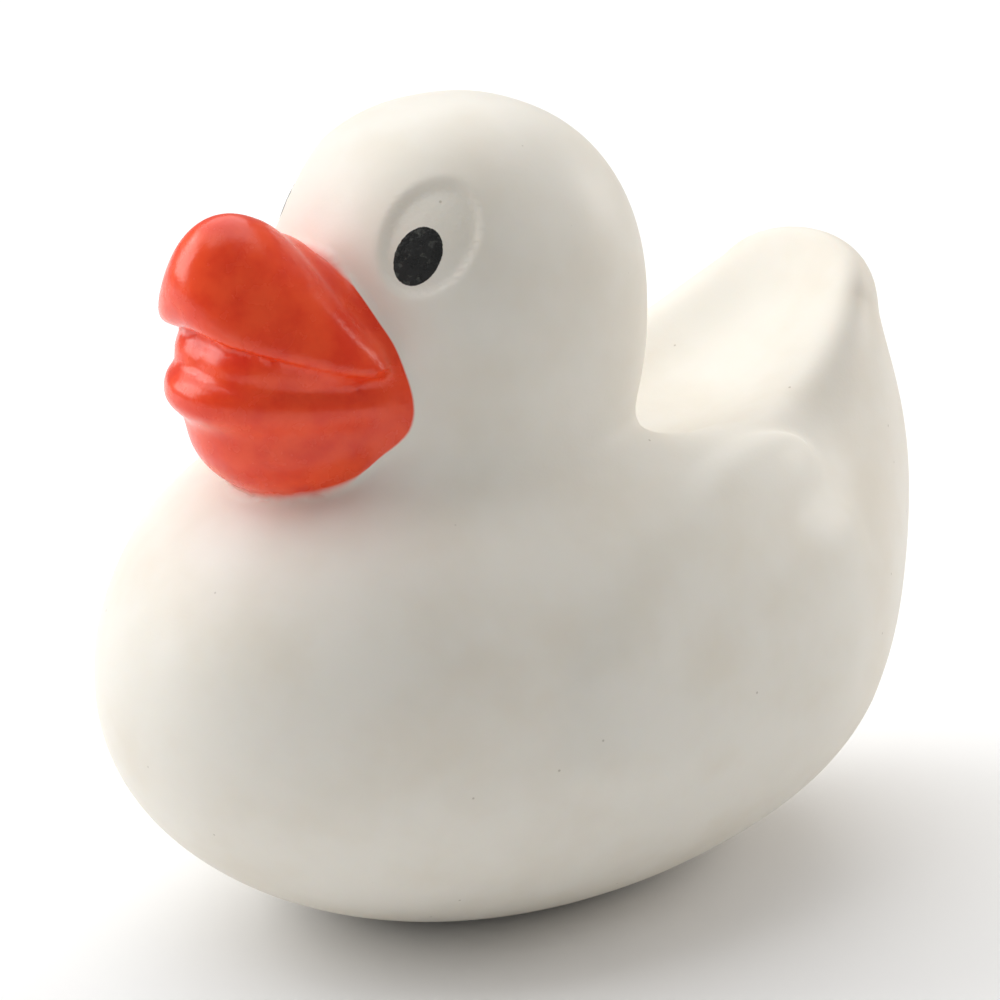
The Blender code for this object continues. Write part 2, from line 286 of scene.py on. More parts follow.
@dataclass(frozen=True)
class Bill:
    """The open bill: its root on the face, two thick lips, the tongue between them and the chin.

    Attributes:
        flange: The part that spreads onto the face.
        root: The ridge in front of it, behind the upper lip.
        upper: The upper lip, before its underside is cut.
        lower: The lower lip.
        tongue: The tongue's left lobe.
        chin: The mass under the lower lip.
        mouth_back: Y at the back of the mouth.
        mouth_height: Z of the upper lip's underside there.
        mouth_slope: How steeply the underside climbs to the front.
        mouth_sag: How fast it falls to both sides, per millimetre.
        mouth_lean: Turns a height over that slope into a distance.
        mouth_rim: How rounded the upper lip's lower edge is.
        crease: How soft the mouth's creases are.
        chin_fillet: The fillet from lower lip to chin.
        root_fillet: The fillet from flange to root.
        jaw_fillet: The fillet from root to jaw.
    """

    flange: Ball = Ball((0.0, -18.6, 57.8), (10.5, 8.8, 10.3), power=2.2)
    root: Ball = Ball((0.0, -28.2, 62.0), (12.6, 4.6, 9.0), arch=0.85, sweep=0.045)
    upper: Ball = Ball((0.0, -33.7, 67.5), (13.6, 6.1, 6.2), power=2.3, rise=23.0,
                       arch=1.15, sweep=0.045)
    lower: Ball = Ball((0.0, -32.3, 56.4), (11.4, 7.5, 3.1), power=2.4, rise=6.0, sweep=0.045)
    tongue: Ball = Ball((2.8, -31.0, 60.5), (8.8, 7.0, 4.1), rise=-8.0, sweep=0.035)
    chin: Ball = Ball((0.0, -25.6, 52.6), (10.6, 11.4, 7.4))
    mouth_back: float = -31.5
    mouth_height: float = 61.4
    mouth_slope: float = 0.25
    mouth_sag: float = 0.004
    mouth_lean: float = 0.85
    mouth_rim: float = 2.0
    crease: float = 1.2
    chin_fillet: float = 4.0
    root_fillet: float = 6.0
    jaw_fillet: float = 2.0

    def distance(self, points: np.ndarray) -> np.ndarray:
        """Distances from points to the bill."""
        jaw = blend(self.lower.distance(points), self.chin.distance(points), self.chin_fillet)
        mouth = blend(jaw, self.tongue.distance(folded(points)), self.crease)
        root = blend(self.flange.distance(points), self.root.distance(points), self.root_fillet)
        face = blend(root, mouth, self.jaw_fillet)
        climb = self.mouth_slope * (self.mouth_back - points[:, 1])
        floor = self.mouth_height + climb - self.mouth_sag * points[:, 0] ** 2
        underside = self.mouth_lean * (points[:, 2] - floor)
        lip = carve(self.upper.distance(points), underside, self.mouth_rim)
        return blend(face, lip, self.crease)


@dataclass(frozen=True)
class Oval:
    """An oval on the left of the face, as seen square on to the skin there.

    Attributes:
        centre: Its middle, in millimetres.
        facing: The way the skin faces there.
        half_length: Half its longer size.
        half_width: Half its shorter size.
        tilt: How far its upper end leans to the rear, in degrees.
    """

    centre: Triple
    facing: Triple
    half_length: float
    half_width: float
    tilt: float

    def reach(self, points: np.ndarray) -> np.ndarray:
        """How far out each point lies: 0 at the oval's middle and 1 on its edge.

        Args:
            points: Points in millimetres; both sides of the face count.

        Returns:
            The share for each point, large for points off the skin.
        """
        normal = Vector(self.facing).normalized()
        side = Vector((0.0, 0.0, 1.0)).cross(normal).normalized()
        rise = normal.cross(side)
        lean = math.radians(self.tilt)
        long_axis = rise * math.cos(lean) + side * math.sin(lean)
        short_axis = side * math.cos(lean) - rise * math.sin(lean)
        offset = folded(points) - np.array(self.centre)
        along = offset @ np.array(long_axis) / self.half_length
        across = offset @ np.array(short_axis) / self.half_width
        depth = offset @ np.array(normal) / (2.0 * self.half_length)
        return np.sqrt(along ** 2 + across ** 2 + np.maximum(np.abs(depth) - 0.5, 0.0) * 20.0)


@dataclass(frozen=True)
class Eyes:
    """The shallow eye recesses and the pupils sprayed in them."""

    recess: Oval = Oval((11.4, -19.3, 71.7), (0.62, -0.66, 0.42), 5.5, 4.1, 25.0)
    pupil: Oval = Oval((11.1, -20.5, 70.1), (0.62, -0.66, 0.42), 2.9, 2.15, 25.0)
    depth: float = 0.55
    lip: float = 0.12

    def sink(self, points: np.ndarray) -> np.ndarray:
        """How deep the skin is pressed in at each point, in millimetres."""
        return self.depth * (1.0 - ramp(self.recess.reach(points), 1.0 - self.lip, 1.0 + self.lip))


@dataclass(frozen=True)
class DuckForm:
    """The whole moulding, in millimetres about the duck's own middle.

    Attributes:
        trunk: The body, rump and tail.
        wings: Both wings.
        head: The head and neck.
        bill: The bill.
        eyes: The eyes.
        wall: How thick the vinyl is.
        floor_rim: How rounded the edge of the flat base is.
        wing_fillet: The fillet round each wing.
        neck_fillet: The fillet round the neck.
        bill_fillet: The fillet round the bill.
        inner_fillets: The same three on the plainer inner skin, and the one at the chin.
    """

    trunk: Trunk = field(default_factory=Trunk)
    wings: Wings = field(default_factory=Wings)
    head: Head = field(default_factory=Head)
    bill: Bill = field(default_factory=Bill)
    eyes: Eyes = field(default_factory=Eyes)
    wall: float = 1.8
    floor_rim: float = 1.5
    wing_fillet: float = 2.0
    neck_fillet: float = 6.0
    bill_fillet: float = 1.6
    inner_fillets: tuple[float, float, float, float] = (6.0, 8.0, 4.0, 3.0)

    def body(self, points: np.ndarray) -> np.ndarray:
        """Distances to all but the bill and the details."""
        mass = blend(self.trunk.distance(points), self.wings.distance(points), self.wing_fillet)
        return blend(mass, self.head.distance(points), self.neck_fillet)

    def skin(self, points: np.ndarray) -> np.ndarray:
        """Distances to the outer skin."""
        mass = blend(self.body(points), self.bill.distance(points), self.bill_fillet)
        mass = mass + self.eyes.sink(points)
        return carve(mass, points[:, 2], self.floor_rim)

    def hollow(self, points: np.ndarray) -> np.ndarray:
        """Distances to the inner skin, which is plainer and leaves the lips solid."""
        wing_fillet, neck_fillet, bill_fillet, chin_fillet = self.inner_fillets
        mass = blend(self.trunk.distance(points), self.wings.distance(points), wing_fillet)
        mass = blend(mass, self.head.distance(points), neck_fillet)
        flange, chin = self.bill.flange.distance(points), self.bill.chin.distance(points)
        return blend(mass, blend(flange, chin, chin_fillet), bill_fillet) + self.wall

    def balls(self) -> list[tuple[Triple, Triple]]:
        """Centres and radii of balls that fill the form roughly, for a surface to start from."""
        trunk, bill, head = self.trunk, self.bill, self.head
        tail_root, tail_tip = np.array(trunk.tail.start), np.array(trunk.tail.end)
        root_size, tip_size = trunk.tail.start_radius, trunk.tail.end_radius
        result = [(ball.centre, ball.radii) for ball in (
            trunk.body, trunk.rump, head.skull, bill.flange, bill.root, bill.upper, bill.lower,
            bill.chin)]
        result.append((tuple(tail_root), (root_size,) * 3))
        result.append((tuple((tail_root + tail_tip) / 2), ((root_size + tip_size) / 2,) * 3))
        result.append((trunk.tail.end, (tip_size,) * 3))
        result.append((head.neck.end, (head.neck.end_radius,) * 3))
        for feather in self.wings.feathers:
            x, y, z = feather.centre
            result += [((x, y, z), feather.radii), ((-x, y, z), feather.radii)]
        return result


# ---------------------------------------------------------------- meshes


@dataclass(frozen=True)
class Place:
    """Where the duck's own millimetres lie in the frame.

    Attributes:
        unit: Metres for one of the form's millimetres.
        y_middle: The form's Y at the middle of the CAD box, in millimetres.
    """

    unit: float
    y_middle: float

    def matrix(self) -> Matrix:
        """From the form's millimetres to the frame's metres."""
        return Matrix.Scale(self.unit, 4) @ Matrix.Translation((0.0, -self.y_middle, 0.0))


def scene_object(name: str, mesh: bpy.types.Mesh) -> bpy.types.Object:
    """Put a mesh into the scene as an object at the origin."""
    item = bpy.data.objects.new(name, mesh)
    bpy.context.scene.collection.objects.link(item)
    return item


def evaluated(item: bpy.types.Object) -> bpy.types.Mesh:
    """The plain mesh that an object's modifiers make of it."""
    bpy.context.view_layer.update()
    shown = item.evaluated_get(bpy.context.evaluated_depsgraph_get())
    return bpy.data.meshes.new_from_object(shown)


def remade(mesh: bpy.types.Mesh, kind: str, **settings: object) -> bpy.types.Mesh:
    """Run one modifier over a mesh.

    Args:
        mesh: The mesh to start from.
        kind: The modifier's type.
        settings: Its properties.

    Returns:
        The mesh that the modifier makes.
    """
    item = scene_object("work", mesh)
    modifier = item.modifiers.new(kind, kind)
    for key, value in settings.items():
        setattr(modifier, key, value)
    result = evaluated(item)
    bpy.data.objects.remove(item)
    return result


def read_points(mesh: bpy.types.Mesh) -> np.ndarray:
    """A mesh's vertices, one row each."""
    flat = np.empty(len(mesh.vertices) * 3)
    mesh.vertices.foreach_get("co", flat)
    return flat.reshape(-1, 3)


def slope_of(form: Form, points: np.ndarray, probe: float = 0.02) -> np.ndarray:
    """The way in which a form's distance grows at each point.

    Args:
        form: The form's distance function.
        points: Where to measure.
        probe: Half the step between the two readings on each axis, in millimetres.

    Returns:
        One gradient for each point, of length about 1.
    """
    slope = np.empty_like(points)
    for axis in range(3):
        step = np.zeros(3)
        step[axis] = probe
        slope[:, axis] = (form(points + step) - form(points - step)) / (2.0 * probe)
    return slope


def drawn_onto(mesh: bpy.types.Mesh, form: Form, steps: int) -> bpy.types.Mesh:
    """Move each vertex down the form's slope until it lies on the form's surface.

    Args:
        mesh: A mesh near the surface.
        form: The form's distance function.
        steps: How many moves each vertex makes.

    Returns:
        The same mesh, moved.
    """
    points = read_points(mesh)
    for _ in range(steps):
        slope = slope_of(form, points)
        steepness = np.maximum(np.sum(slope ** 2, axis=1), 0.25)
        points -= (form(points) / steepness)[:, None] * slope
    mesh.vertices.foreach_set("co", points.ravel())
    mesh.update()
    return mesh


def rough_mesh(balls: list[tuple[Triple, Triple]]) -> bpy.types.Mesh:
    """One mesh of overlapping balls."""
    form = bmesh.new()
    for centre, radii in balls:
        place = Matrix.Translation(centre) @ Matrix.Diagonal((*radii, 1.0))
        bmesh.ops.create_icosphere(form, subdivisions=4, radius=1.0, matrix=place)
    mesh = bpy.data.meshes.new("rough")
    form.to_mesh(mesh)
    form.free()
    return mesh


def surface_of(form: Form, balls: list[tuple[Triple, Triple]], voxel: float) -> bpy.types.Mesh:
    """The closed surface of a form as an even mesh.

    Args:
        form: The form's distance function.
        balls: Balls that fill the form roughly.
        voxel: The mesh's spacing, in millimetres.

    Returns:
        A mesh of quads, drawn first coarsely and then finely.
    """
    mesh = rough_mesh(balls)
    for spacing in (max(FIRST_VOXEL, voxel), voxel):
        mesh = remade(mesh, "REMESH", mode="VOXEL", voxel_size=spacing)
        mesh = drawn_onto(mesh, form, FIRST_MOVES)
        mesh = remade(mesh, "SMOOTH", factor=SMOOTH_SHARE, iterations=SMOOTH_ROUNDS)
        mesh = drawn_onto(mesh, form, LAST_MOVES)
    return mesh


def write_layer(mesh: bpy.types.Mesh, name: str, values: np.ndarray) -> None:
    """Store one number for each vertex under a name that a material can read."""
    layer = mesh.attributes.new(name, "FLOAT", "POINT")
    layer.data.foreach_set("value", values.astype(np.float32))


def cut(item: bpy.types.Object, tool: bpy.types.Mesh) -> bpy.types.Mesh:
    """The mesh of an object with another mesh taken away from it.

    Args:
        item: The object; it is removed.
        tool: What to take away; its object is removed too.

    Returns:
        The cut mesh.
    """
    cutter = scene_object("cutter", tool)
    modifier = item.modifiers.new("cut", "BOOLEAN")
    modifier.operation = "DIFFERENCE"
    modifier.object = cutter
    result = evaluated(item)
    bpy.data.objects.remove(item)
    bpy.data.objects.remove(cutter)
    return result


def lathe(name: str, profile: list[tuple[float, float]], sides: int) -> bpy.types.Mesh:
    """A closed turned body about the Z axis.

    Args:
        name: The mesh's name.
        profile: (radius, height) points from top to bottom; it closes on itself off the axis.
        sides: How many flats go round it.

    Returns:
        The mesh, with its faces pointing out.
    """
    form = bmesh.new()
    points = [form.verts.new((radius, 0.0, height)) for radius, height in profile]
    edges = [form.edges.new(pair) for pair in zip(points, points[1:])]
    if profile[0][0] > 0.0:
        edges.append(form.edges.new((points[-1], points[0])))
    bmesh.ops.spin(form, geom=points + edges, cent=(0, 0, 0), axis=(0, 0, 1),
                   angle=2 * math.pi, steps=sides, use_merge=True)
    bmesh.ops.remove_doubles(form, verts=form.verts, dist=1e-7)
    bmesh.ops.recalc_face_normals(form, faces=form.faces)
    mesh = bpy.data.meshes.new(name)
    form.to_mesh(mesh)
    form.free()
    return mesh


# ---------------------------------------------------------------- finishes


class Layer(Enum):
    """The numbers that the skin's vertices carry for its material."""

    BILL = "bill_paint"
    FADE = "bill_fade"
    PUPIL = "pupil_paint"
    OVAL = "eye_oval"


class Shader:
    """A material being put together around one Principled BSDF."""

    def __init__(self, name: str) -> None:
        """Start an empty material.

        Args:
            name: The material's name.
        """
        self.material = bpy.data.materials.new(name)
        self.material.use_nodes = True
        self.tree = self.material.node_tree
        self.surface = self.tree.nodes["Principled BSDF"]
        self.place = self.tree.nodes.new("ShaderNodeTexCoord").outputs["Object"]

    def set(self, **values: object) -> None:
        """Set the Principled BSDF's own sockets; an underscore in a name is a space."""
        for key, value in values.items():
            self.surface.inputs[key.replace("_", " ")].default_value = value

    def link(self, source: bpy.types.NodeSocket, name: str) -> None:
        """Feed one of the Principled BSDF's sockets."""
        self.tree.links.new(source, self.surface.inputs[name])

    def feed(self, node: bpy.types.Node, socket: str | int, value: object) -> None:
        """Give a node's input a value, or a link if the value is a socket."""
        if isinstance(value, bpy.types.NodeSocket):
            self.tree.links.new(value, node.inputs[socket])
        else:
            node.inputs[socket].default_value = value

    def noise(self, size: float, detail: float = 2.0, rough: float = 0.5) -> bpy.types.NodeSocket:
        """Noise whose blotches are about as large as size, in metres."""
        node = self.tree.nodes.new("ShaderNodeTexNoise")
        self.feed(node, "Vector", self.place)
        self.feed(node, "Scale", 1.0 / size)
        self.feed(node, "Detail", detail)
        self.feed(node, "Roughness", rough)
        return node.outputs["Fac"]

    def specks(self, spacing: float) -> bpy.types.NodeSocket:
        """Distance to the nearest of scattered points, 0 at each point."""
        node = self.tree.nodes.new("ShaderNodeTexVoronoi")
        self.feed(node, "Vector", self.place)
        self.feed(node, "Scale", 1.0 / spacing)
        return node.outputs["Distance"]

    def layer(self, which: Layer) -> bpy.types.NodeSocket:
        """One of the numbers that the vertices carry."""
        node = self.tree.nodes.new("ShaderNodeAttribute")
        node.attribute_name = which.value
        return node.outputs["Fac"]

    def math(self, operation: str, first: object, second: object = 0.0) -> bpy.types.NodeSocket:
        """One step of arithmetic on two numbers or sockets."""
        node = self.tree.nodes.new("ShaderNodeMath")
        node.operation = operation
        self.feed(node, 0, first)
        self.feed(node, 1, second)
        return node.outputs[0]

    def step(self, value: object, low: object, high: object,
             to_low: float = 0.0, to_high: float = 1.0) -> bpy.types.NodeSocket:
        """Map a number smoothly from one range to another."""
        node = self.tree.nodes.new("ShaderNodeMapRange")
        node.interpolation_type = "SMOOTHSTEP"
        for socket, number in (("Value", value), ("From Min", low), ("From Max", high),
                               ("To Min", to_low), ("To Max", to_high)):
            self.feed(node, socket, number)
        return node.outputs[0]

    def mix(self, share: object, first: object, second: object) -> bpy.types.NodeSocket:
        """Mix two colours."""
        node = self.tree.nodes.new("ShaderNodeMix")
        node.data_type = "RGBA"
        self.feed(node, 0, share)
        self.feed(node, 6, first)
        self.feed(node, 7, second)
        return node.outputs[2]

    def bump(self, height: bpy.types.NodeSocket, depth: float) -> None:
        """Raise the surface by a height of 0 to 1 times depth, in metres."""
        node = self.tree.nodes.new("ShaderNodeBump")
        self.feed(node, "Height", height)
        self.feed(node, "Distance", depth)
        self.link(node.outputs["Normal"], "Normal")


Colour = tuple[float, float, float, float]


def colour(red: int, green: int, blue: int) -> Colour:
    """A paint colour from its 0 to 255 screen values."""
    linear = [((value / 255.0 + 0.055) / 1.055) ** 2.4 for value in (red, green, blue)]
    return (*linear, 1.0)


@dataclass(frozen=True)
class SkinFinish:
    """Matt white vinyl with a glossy sprayed bill and pupils.

    Attributes:
        vinyl: The moulding's own colour.
        vinyl_shade: The colour of its faint blotches.
        fleck: The colour of its few tiny specks.
        bill: The bill's paint.
        bill_deep: The same paint where it lies thick.
        pupil: The pupils' paint.
        pupil_chip: The paint's thin places.
    """

    vinyl: Colour = colour(236, 231, 221)
    vinyl_shade: Colour = colour(230, 223, 210)
    fleck: Colour = colour(150, 138, 118)
    bill: Colour = colour(250, 80, 32)
    bill_deep: Colour = colour(234, 56, 14)
    pupil: Colour = colour(22, 23, 22)
    pupil_chip: Colour = colour(62, 64, 60)

    def material(self) -> bpy.types.Material:
        """Build the material.

        Returns:
            A material that reads the skin's vertex layers.
        """
        shader = Shader("moulded_vinyl")
        shader.set(Metallic=0.0, IOR=1.5, Subsurface_Weight=0.2, Subsurface_Scale=0.003,
                   Subsurface_Radius=(1.0, 0.72, 0.5))
        bill = self.bill_share(shader)
        pupil = self.pupil_share(shader)
        blotch = shader.noise(0.011, 3.0)
        white = shader.mix(shader.step(blotch, 0.35, 0.75), self.vinyl, self.vinyl_shade)
        speck = shader.step(shader.specks(0.0041), 0.02, 0.045, 0.5, 0.0)
        white = shader.mix(speck, white, self.fleck)
        mottle = shader.step(shader.noise(0.0035, 4.0), 0.3, 0.7)
        red = shader.mix(mottle, self.bill, self.bill_deep)
        chips = shader.step(shader.noise(0.0007, 3.0, 0.6), 0.56, 0.66)
        black = shader.mix(chips, self.pupil, self.pupil_chip)
        tint = shader.mix(pupil, shader.mix(bill, white, red), black)
        shader.link(tint, "Base Color")
        self.gloss(shader, bill, pupil)
        self.grain(shader, bill, pupil)
        return shader.material

    def bill_share(self, shader: Shader) -> bpy.types.NodeSocket:
        """How much bill paint covers each point: crisp, but misted at the top and the chin."""
        edge = shader.layer(Layer.BILL)
        fade = shader.layer(Layer.FADE)
        wander = shader.math("MULTIPLY", shader.math("SUBTRACT", shader.noise(0.0016, 3.0), 0.5), 0.5)
        soft = shader.math("ADD", shader.math("MULTIPLY", fade, 1.3), 0.09)
        value = shader.math("ADD", edge, shader.math("MULTIPLY", wander, soft))
        return shader.step(value, shader.math("MULTIPLY", soft, -1.0), soft)

    def pupil_share(self, shader: Shader) -> bpy.types.NodeSocket:
        """How much black covers each point, with a slightly ragged rim."""
        edge = shader.layer(Layer.PUPIL)
        wander = shader.math("MULTIPLY", shader.math("SUBTRACT", shader.noise(0.0006, 3.0), 0.5), 0.16)
        return shader.step(shader.math("ADD", edge, wander), -0.03, 0.03)

    def gloss(self, shader: Shader, bill: bpy.types.NodeSocket, pupil: bpy.types.NodeSocket) -> None:
        """Make the paint glossy and the vinyl satin."""
        vinyl = shader.step(shader.noise(0.006, 4.0), 0.3, 0.7, 0.44, 0.56)
        paint = shader.step(shader.noise(0.0025, 4.0), 0.3, 0.7, 0.18, 0.3)
        rough = shader.mix(bill, vinyl, paint)
        rough = shader.mix(pupil, rough, shader.step(shader.noise(0.001, 3.0), 0.3, 0.7, 0.2, 0.4))
        shader.link(rough, "Roughness")

    def grain(self, shader: Shader, bill: bpy.types.NodeSocket, pupil: bpy.types.NodeSocket) -> None:
        """Give the vinyl a fine grain, the eyes a stipple and the paint a slight orange peel."""
        fine = shader.math("MULTIPLY", shader.noise(0.0005, 3.0, 0.6), 0.10)
        stipple = shader.math("MULTIPLY", shader.noise(0.0006, 2.0), shader.layer(Layer.OVAL))
        peel = shader.math("MULTIPLY", shader.noise(0.0011, 3.0, 0.6), bill)
        rough = shader.math("MULTIPLY", shader.noise(0.0005, 4.0, 0.7), pupil)
        height = shader.math("ADD", fine, shader.math("MULTIPLY", stipple, 0.5))
        height = shader.math("ADD", height, shader.math("MULTIPLY", peel, 0.35))
        height = shader.math("ADD", height, shader.math("MULTIPLY", rough, 0.9))
        shader.bump(height, 0.12 * MM)


@dataclass(frozen=True)
class PlasticFinish:
    """Moulded plastic of the squeaker.

    Attributes:
        name: The material's name.
        base: Its colour.
        shade: The colour of its faint flow marks.
        roughness: Its mean roughness.
        clear: How much light passes through it.
    """

    name: str
    base: Colour
    shade: Colour
    roughness: float
    clear: float = 0.0

    def material(self) -> bpy.types.Material:
        """Build the material.

        Returns:
            A plastic with flow marks and a fine moulded grain.
        """
        shader = Shader(self.name)
        shader.set(Metallic=0.0, IOR=1.5, Transmission_Weight=self.clear)
        marks = shader.noise(0.002, 4.0)
        shader.link(shader.mix(shader.step(marks, 0.35, 0.7), self.base, self.shade), "Base Color")
        low, high = self.roughness - 0.06, self.roughness + 0.06
        shader.link(shader.step(shader.noise(0.0012, 3.0), 0.3, 0.7, low, high), "Roughness")
        shader.bump(shader.noise(0.0003, 3.0, 0.6), 0.02 * MM)
        return shader.material


# ---------------------------------------------------------------- the duck's pieces


@dataclass
class Skin:
    """The hollow moulding, with its eyes, bill, wings and the squeaker's seat.

    Attributes:
        form: The shape that it is drawn from.
        voxel: Spacing of the outer skin's mesh, in millimetres.
        inner_voxel: Spacing of the inner skin's mesh.
        base_thickness: How thick the base is, in millimetres.
        settle: Points lower than this are pressed flat onto the ground, in millimetres.
        sides: Flats round the seat and the hole.
        clearance: The gap between the vinyl and the plug, in millimetres.
        seat_depth: How deep the seat for the plug's disc is.
        hole_step: How much smaller the hole's radius is than the disc's.
        paint_margin: How far the bill's paint keeps inside the crease round the bill.
        misty_top: Between these heights the paint's edge grows misty, towards the forehead.
        misty_chin: Between these heights it grows crisp again, from the chest up.
        finish: Its paint and vinyl.
    """

    form: DuckForm = field(default_factory=DuckForm)
    voxel: float = 0.6
    quick_voxel: float = 0.8
    inner_voxel: float = 2.0
    base_thickness: float = 3.4
    settle: float = 0.12
    sides: int = 64
    clearance: float = 0.3
    seat_depth: float = 1.6
    hole_step: float = 2.1
    paint_margin: float = 0.15
    misty_top: tuple[float, float] = (66.5, 69.0)
    misty_chin: tuple[float, float] = (47.0, 50.0)
    finish: SkinFinish = field(default_factory=SkinFinish)

    def place(self) -> Place:
        """Where the form lies in the frame, from the CAD moulding's box.

        Returns:
            The size of one of the form's millimetres, and the form's Y at the box's middle.
        """
        low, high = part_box(SHELL)
        top = self.form.head.skull.centre[2] + self.form.head.skull.radii[2]
        body = self.form.trunk.body
        chest = body.centre[1] - body.radii[1]
        unit = (high.z - low.z) / top
        return Place(unit, chest - low.y / unit)

    def build(self) -> bpy.types.Object:
        """Make the moulding as one closed mesh.

        Returns:
            The piece, in the frame's metres.
        """
        form = self.form
        voxel = self.voxel
        outer = surface_of(form.skin, form.balls(), voxel)
        self.press_flat(outer)
        inner = surface_of(form.hollow, form.balls(), self.inner_voxel)
        inner = self.level_floor(inner)
        mesh = cut(scene_object("outer", outer), inner)
        mesh = cut(scene_object("outer", mesh), self.seat())
        self.write_layers(mesh)
        mesh.transform(self.place().matrix())
        mesh.name = "vinyl_duck"
        mesh.shade_smooth()
        mesh.set_sharp_from_angle(angle=math.radians(50.0))
        mesh.materials.clear()
        mesh.materials.append(self.finish.material())
        piece = scene_object("vinyl_duck", mesh)
        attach(piece, BODY)
        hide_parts(SHELL)
        return piece

    def press_flat(self, mesh: bpy.types.Mesh) -> None:
        """Press the points that all but touch the ground flat onto it."""
        points = read_points(mesh)
        points[points[:, 2] < self.settle, 2] = 0.0
        mesh.vertices.foreach_set("co", points.ravel())
        mesh.update()

    def level_floor(self, mesh: bpy.types.Mesh) -> bpy.types.Mesh:
        """Raise the inner skin's lowest part to a level floor above the base."""
        points = read_points(mesh)
        points[:, 2] = np.maximum(points[:, 2], self.base_thickness)
        mesh.vertices.foreach_set("co", points.ravel())
        mesh.update()
        return mesh

    def seat(self) -> bpy.types.Mesh:
        """The round seat and the hole for the plug, as one cutting body in millimetres."""
        unit, y_middle = self.place().unit, self.place().y_middle
        low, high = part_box(PLUG)
        disc = (high.x - low.x) / 2 / unit
        seat = disc + self.clearance
        hole = disc - self.hole_step
        depth = self.seat_depth
        profile = [(0.0, 2 * self.base_thickness), (hole, 2 * self.base_thickness), (hole, depth),
                   (seat, depth), (seat, -depth), (0.0, -depth)]
        mesh = lathe("seat", profile, self.sides)
        middle = (low.y + high.y) / 2 / unit + y_middle
        mesh.transform(Matrix.Translation((0.0, middle, 0.0)))
        return mesh

    def write_layers(self, mesh: bpy.types.Mesh) -> None:
        """Store where the paint lies, in millimetres inside its edge."""
        form, points = self.form, read_points(mesh)
        height, eyes = points[:, 2], form.eyes
        outer = form.skin(points) > -0.4 * form.wall
        bill = form.body(points) - form.bill.distance(points) - self.paint_margin
        write_layer(mesh, Layer.BILL.value, np.where(outer, bill, UNPAINTED))
        top, chin = ramp(height, *self.misty_top), 1.0 - ramp(height, *self.misty_chin)
        write_layer(mesh, Layer.FADE.value, np.maximum(top, chin))
        pupil = (1.0 - eyes.pupil.reach(points)) * eyes.pupil.half_width
        write_layer(mesh, Layer.PUPIL.value, np.where(outer, pupil, UNPAINTED))
        oval = 1.0 - ramp(eyes.recess.reach(points), 0.9, 1.05)
        write_layer(mesh, Layer.OVAL.value, np.where(outer, oval, 0.0))


class RibTree:
    """Geometry nodes that set a ring of ribs on a body: how many, where and how large are inputs."""

    COUNT = "Count"
    RADIUS = "Ring Radius"
    SIZE = "Rib Size"
    LIFT = "Lift"
    FINISH = "Finish"

    def __init__(self, name: str) -> None:
        """Build the tree.

        Args:
            name: The node group's name.
        """
        self.tree = bpy.data.node_groups.new(name, "GeometryNodeTree")
        face = self.tree.interface
        face.new_socket("Geometry", in_out="OUTPUT", socket_type="NodeSocketGeometry")
        face.new_socket("Geometry", in_out="INPUT", socket_type="NodeSocketGeometry")
        self.keys = {}
        for label, kind in ((self.COUNT, "Int"), (self.RADIUS, "Float"), (self.SIZE, "Vector"),
                            (self.LIFT, "Vector"), (self.FINISH, "Material")):
            socket = face.new_socket(label, in_out="INPUT", socket_type=f"NodeSocket{kind}")
            self.keys[label] = socket.identifier
        self.wire()

    def node(self, kind: str, **inputs: object) -> bpy.types.Node:
        """Add a node; each input is a value or a socket, and an underscore is a space."""
        node = self.tree.nodes.new(kind)
        for key, value in inputs.items():
            socket = node.inputs[key.replace("_", " ")]
            if isinstance(value, bpy.types.NodeSocket):
                self.tree.links.new(value, socket)
            else:
                socket.default_value = value
        return node

    def wire(self) -> None:
        """Put one rib on each point of a ring, turned to face out, and join them to the body."""
        given = self.node("NodeGroupInput").outputs
        ring = self.node("GeometryNodeMeshCircle", Vertices=given[self.COUNT],
                         Radius=given[self.RADIUS])
        lifted = self.node("GeometryNodeTransform", Geometry=ring.outputs[0],
                           Translation=given[self.LIFT])
        rib = self.node("GeometryNodeMeshCube", Size=given[self.SIZE])
        outward = self.node("GeometryNodeInputPosition")
        turn = self.node("FunctionNodeAlignRotationToVector", Vector=outward.outputs[0])
        turn.axis = "X"
        turn.pivot_axis = "Z"
        ribs = self.node("GeometryNodeInstanceOnPoints", Points=lifted.outputs[0],
                         Instance=rib.outputs["Mesh"], Rotation=turn.outputs[0])
        join = self.node("GeometryNodeJoinGeometry")
        self.tree.links.new(ribs.outputs[0], join.inputs[0])
        self.tree.links.new(given["Geometry"], join.inputs[0])
        real = self.node("GeometryNodeRealizeInstances", Geometry=join.outputs[0])
        dressed = self.node("GeometryNodeSetMaterial", Geometry=real.outputs[0],
                            Material=given[self.FINISH])
        end = self.tree.nodes.new("NodeGroupOutput")
        self.tree.links.new(dressed.outputs[0], end.inputs[0])

    def run(self, item: bpy.types.Object, values: dict[str, object]) -> bpy.types.Mesh:
        """Set a ring of ribs on an object's mesh.

        Args:
            item: The body; it is removed.
            values: A value for each of the tree's named inputs.

        Returns:
            The plain mesh of the body and its ribs.
        """
        modifier = item.modifiers.new("ribs", "NODES")
        modifier.node_group = self.tree
        for label, value in values.items():
            modifier[self.keys[label]] = value
        result = evaluated(item)
        bpy.data.objects.remove(item)
        return result


